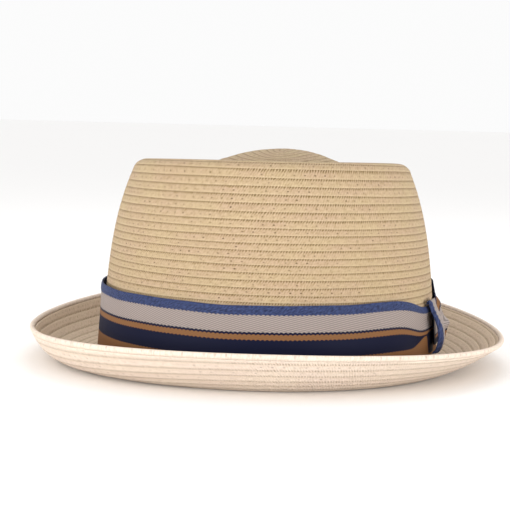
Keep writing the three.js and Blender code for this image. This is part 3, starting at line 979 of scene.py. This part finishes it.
class PORKPIE_OT_knot(bpy.types.Operator):
    """Builds the short upright wrap of ribbon over the gathered band"""

    bl_idname = "porkpie.knot"
    bl_label = "Bow Knot"

    def execute(self, context):
        ribbon = bpy.data.materials["striped_twill_ribbon"]
        profile = np.array(KNOT_PROFILE)
        steps = travelled(profile)
        fine = np.linspace(0.0, steps[-1], 61)
        rise, out = (smooth_table(steps, profile[:, column], fine)[:, None] for column in range(2))
        across = np.linspace(-1.0, 1.0, 29)
        face_on = smoothstep((out - 2.5) / 2.5)

        # The front edge is rolled over, and the cloth sinks along two soft creases.
        fall = smooth_table(KNOT_ACROSS, KNOT_FALL, across)
        crease = sum(
            depth * np.exp(-(((across - place) / CREASE_WIDTH) ** 2)) for depth, place in KNOT_CREASES
        )
        height = rise + 0 * across
        stand = out - (fall + crease) * face_on
        lean = KNOT_LEAN * smoothstep((33.0 - rise) / 12.0)
        angle = np.radians(BOW_ANGLE + lean) + across * KNOT_WIDTH / CROWN_WIDTH + 0 * height
        thickness = KNOT_THICKNESS * np.sqrt(clamp((1 - np.abs(across)) * 9)) + 0 * height
        thickness[0] = thickness[-1] = 0.0
        face = stand_point(height, angle, stand)
        grid_down = np.gradient(face, axis=0)
        grid_along = np.gradient(face, axis=1)
        outward = unit(np.cross(grid_down, grid_along))
        back = face - outward * thickness[..., None]
        lengths = travelled(face[:, len(across) // 2])
        along = lengths[:, None] + 0 * height
        down = (across + 1) / 2 * KNOT_WIDTH + mix(*KNOT_STRIPES, smoothstep((rise - 18.0) / 10.0))
        knot = ribbon_strip("bow_knot_cloth", face, back, along, down, ribbon)
        frame_piece(knot, "ribbon", "bow_knot")
        return {"FINISHED"}


# The tail where it has fanned out, from its top edge down: height, stand off the crown, and the place
# across the ribbon in millimetres from its blue edge. The cloth is folded along its cream stripe, so
# the stripes come back in turn below it.
TAIL_PROFILE = (
    (41.0, 0.9, 23.0), (38.0, 1.05, 20.3), (35.0, 1.25, 17.5), (33.7, 1.7, 16.0), (32.4, 2.7, 14.8),
    (31.1, 3.6, 13.5), (30.2, 4.0, 12.4), (28.0, 4.2, 10.5), (25.0, 5.1, 8.8), (22.5, 6.4, 8.4),
    (20.5, 8.2, 9.8), (18.0, 7.4, 12.0), (16.6, 6.9, 13.4), (14.2, 6.0, 15.8), (11.5, 5.2, 18.4),
    (9.0, 4.2, 20.8),
)
# The knot hides this much of the tail, where the navy stripe lines the hollow as painted shade.
TAIL_HIDDEN = 2.5
NAVY_MIDDLE = 20.0
# In millimetres: what the tail stands off the crown where it leaves the knot, its creases there, the
# ripple of its free part, and how far its end slants. Its thickness is a share of the ribbon's.
TAIL_ROOT_STAND = 2.2
TAIL_CREASE = 0.3
TAIL_RIPPLE = 0.2
TAIL_SLANT = 5.0
TAIL_THICKNESS = 0.8
# The turn in degrees from the knot's middle to the tail's hidden end, and the share of its length that
# its folds leave round the crown.
TAIL_START = 2.5
TAIL_TAKE_UP = 0.93


class PORKPIE_OT_tail(bpy.types.Operator):
    """Builds the part of the bow that fans out behind the knot"""

    bl_idname = "porkpie.tail"
    bl_label = "Bow Tail"

    def execute(self, context):
        sizes = context.scene.porkpie_ribbon
        ribbon = bpy.data.materials["striped_twill_ribbon"]
        profile = np.array(TAIL_PROFILE)
        steps = travelled(profile[:, :2])
        down = np.linspace(0.0, 1.0, 57)[:, None]
        along = np.linspace(0.0, 1.0, 49)[None, :]
        fanned, stands, cloth = (
            smooth_table(steps, profile[:, column], down * steps[-1]) for column in range(3)
        )
        covered = KNOT_WIDTH / TAIL_LENGTH
        past = clamp((along - covered) / (1 - covered)) + 0 * down
        fan = smoothstep(past / 0.45)
        middle = (RIBBON_TOP - PINCH_TOP + RIBBON_BOTTOM + PINCH_BOTTOM) / 2
        half = 0.8 * (RIBBON_TOP - PINCH_TOP - RIBBON_BOTTOM - PINCH_BOTTOM) / 2
        height = mix(middle + half * (1 - 2 * down), fanned, fan)
        stand = mix(TAIL_ROOT_STAND + 0 * down, stands, smoothstep(past / 0.4))
        creases = TAIL_CREASE * np.sin(down * math.pi * 7 + 0.6) * (1 - past) ** 1.5 * smoothstep(past * 6)
        ripple = TAIL_RIPPLE * np.sin(down * math.pi * 5 + 1.0) * past * smoothstep((down - 0.25) * 5)
        slant = TAIL_SLANT * past * (0.5 - down)
        around = along * TAIL_LENGTH * TAIL_TAKE_UP + slant
        angle = math.radians(BOW_ANGLE + TAIL_START) + around / (CROWN_WIDTH / 2)
        edge = np.minimum(np.minimum(down, 1 - down) * 30, np.minimum(along, 1 - along) * 24)
        thickness = TAIL_THICKNESS * sizes.thickness / MM * np.sqrt(clamp(edge))
        face = stand_point(height, angle, stand + creases + ripple)
        back = stand_point(height, angle, stand + creases + ripple - thickness)
        showing = mix(NAVY_MIDDLE, cloth, smoothstep(along * TAIL_LENGTH / TAIL_HIDDEN))
        tail = ribbon_strip("bow_tail_cloth", face, back, along * TAIL_LENGTH + 0 * down, showing, ribbon)
        frame_piece(tail, "ribbon", "bow_tail")
        return {"FINISHED"}


class StageSizes(bpy.types.PropertyGroup):
    """Where the camera stands, and how bright the studio is"""

    distance: length(
        "Camera distance", "From the camera to the point that it turns round", 1000.0, 300.0, 5000.0
    )
    aim_height: length(
        "Aim height", "Height of the point that the camera turns round", 50.0, 0.0, 500.0
    )
    yaw: number(
        "Yaw", "Turn of the camera towards the bow side",
        math.radians(1.715), -math.pi, math.pi, subtype="ANGLE",
    )
    elevation: number(
        "Elevation", "Camera's angle above level", math.radians(5.39), 0.0, math.pi / 2, subtype="ANGLE"
    )
    roll: number(
        "Roll", "Turn of the camera about its own axis",
        math.radians(1.429), -math.pi, math.pi, subtype="ANGLE",
    )
    lens: number(
        "Lens", "Focal length of the lens on a 36 mm sensor, in millimetres",
        141.6, 20.0, 400.0, unit="CAMERA",
    )
    key_power: number(
        "Key light", "Power of the large soft light in front, in watts", 0.95, 0.0, 500.0, unit="POWER"
    )
    top_power: number(
        "Top light", "Power of the soft light above and behind the tip, in watts",
        1.6, 0.0, 500.0, unit="POWER",
    )
    bounce_power: number(
        "Bounce light", "Power of the low light in front of the brim, in watts",
        2.8, 0.0, 200.0, unit="POWER",
    )
    room_light: number("Room light", "Strength of the even light all round", 0.97, 0.0, 5.0)


# The soft lamps in front and above: size, place, and the point that each looks at, in metres.
KEY_LAMP = ((1.4, 1.0), (-1.1, -0.9, 1.3), (0, 0, 0.05))
TOP_LAMP = ((0.5, 0.5), (0.05, 0.5, 0.85), (0, 0, 0.1))
# The low lamps before the brim: the side of the hat, and the share of their power. Those at the sides
# stand further out and back.
BOUNCE_LAMPS = ((-1, 1.42), (0, 0.28), (1, 1.3))
BOUNCE_SIZE = (0.5, 0.2)
BOUNCE_OUT = 0.55
BOUNCE_FRONT = -0.72
BOUNCE_BACK_STEP = 0.25
FLOOR_HALF = 4.0
# How far the picture's middle lies from the lens's axis, as shares of the picture's width.
LENS_SHIFT = (-0.0298, 0.0048)


def area_light(name, power, size, place, aim):
    light = bpy.data.lights.new(name, "AREA")
    light.shape = "RECTANGLE"
    light.size, light.size_y = size
    light.energy = power
    lamp = bpy.data.objects.new(name, light)
    lamp.location = place
    lamp.rotation_mode = "QUATERNION"
    lamp.rotation_quaternion = (Vector(aim) - Vector(place)).to_track_quat("-Z", "Y")
    bpy.context.scene.collection.objects.link(lamp)


class PORKPIE_OT_stage(bpy.types.Operator):
    """Lays the pale floor and sets the soft lights and the camera"""

    bl_idname = "porkpie.stage"
    bl_label = "Studio Stage"

    def execute(self, context):
        sizes, colours = context.scene.porkpie_stage, context.scene.porkpie_colours
        board = bmesh.new()
        bmesh.ops.create_grid(board, x_segments=12, y_segments=12, size=FLOOR_HALF)
        mesh = bpy.data.meshes.new("studio_floor")
        board.to_mesh(mesh)
        board.free()
        floor = bpy.data.objects.new("studio_floor", mesh)
        mesh.materials.append(painted_board(colours))
        context.scene.collection.objects.link(floor)

        world = bpy.data.worlds.new("soft_room")
        world.use_nodes = True
        world.node_tree.nodes.clear()
        even = {"Color": solid((1, 1, 1)), "Strength": sizes.room_light}
        room = add(world.node_tree, "Background", even)
        add(world.node_tree, "OutputWorld", {"Surface": room})
        context.scene.world = world
        area_light("key", sizes.key_power, *KEY_LAMP)
        area_light("top", sizes.top_power, *TOP_LAMP)
        for side, share in BOUNCE_LAMPS:
            place = (side * BOUNCE_OUT, BOUNCE_FRONT + BOUNCE_BACK_STEP * abs(side), 0.02)
            aim = (side * 0.06, -0.1, 0.03)
            area_light(f"bounce_{side + 2}", share * sizes.bounce_power, BOUNCE_SIZE, place, aim)
        context.scene.view_settings.view_transform = "Standard"

        yaw, lift, roll = sizes.yaw, sizes.elevation, sizes.roll
        right = Vector((math.cos(yaw), math.sin(yaw), 0))
        back = Vector((math.sin(yaw) * math.cos(lift), -math.cos(yaw) * math.cos(lift), math.sin(lift)))
        up = back.cross(right)
        turned = Matrix((right, up, back)).transposed() @ Matrix.Rotation(roll, 3, "Z")
        camera = bpy.data.cameras.new("camera")
        camera.lens = sizes.lens
        camera.sensor_width = 36.0
        camera.shift_x, camera.shift_y = LENS_SHIFT
        camera.clip_start, camera.clip_end = 0.05, 50.0
        eye = bpy.data.objects.new("camera", camera)
        eye.location = Vector((0, 0, sizes.aim_height)) + back * sizes.distance
        eye.rotation_mode = "QUATERNION"
        eye.rotation_quaternion = turned.to_quaternion()
        context.scene.collection.objects.link(eye)
        context.scene.camera = eye
        return {"FINISHED"}


OPERATORS = (
    PORKPIE_OT_crown,
    PORKPIE_OT_brim,
    PORKPIE_OT_band,
    PORKPIE_OT_tail,
    PORKPIE_OT_knot,
    PORKPIE_OT_stage,
)


class PORKPIE_PT_panel(bpy.types.Panel):
    """Lists the hat's pieces and their sizes"""

    bl_idname = "PORKPIE_PT_panel"
    bl_label = "Porkpie Hat"
    bl_space_type = "VIEW_3D"
    bl_region_type = "UI"
    bl_category = "Hat"

    def draw(self, context):
        for operator in OPERATORS:
            self.layout.operator(operator.bl_idname)
        for group in GROUPS:
            held = getattr(context.scene, group)
            box = self.layout.box()
            for name in held.bl_rna.properties.keys():
                if name not in {"rna_type", "name"}:
                    box.prop(held, name)


GROUPS = {
    "porkpie_sizes": HatSizes,
    "porkpie_ribbon": RibbonSizes,
    "porkpie_colours": HatColours,
    "porkpie_stage": StageSizes,
}


def register():
    for group in GROUPS.values():
        bpy.utils.register_class(group)
    for name, group in GROUPS.items():
        setattr(bpy.types.Scene, name, PointerProperty(type=group))
    for operator in OPERATORS:
        bpy.utils.register_class(operator)
    bpy.utils.register_class(PORKPIE_PT_panel)


def unregister():
    bpy.utils.unregister_class(PORKPIE_PT_panel)
    for operator in reversed(OPERATORS):
        bpy.utils.unregister_class(operator)
    for name in GROUPS:
        delattr(bpy.types.Scene, name)
    for group in reversed(GROUPS.values()):
        bpy.utils.unregister_class(group)


def main():
    register()
    bpy.ops.porkpie.crown()
    bpy.ops.porkpie.brim()
    bpy.ops.porkpie.band()
    bpy.ops.porkpie.tail()
    bpy.ops.porkpie.knot()
    bpy.ops.porkpie.stage()
    bpy.context.view_layer.update()


if __name__ == "__main__":
    main()
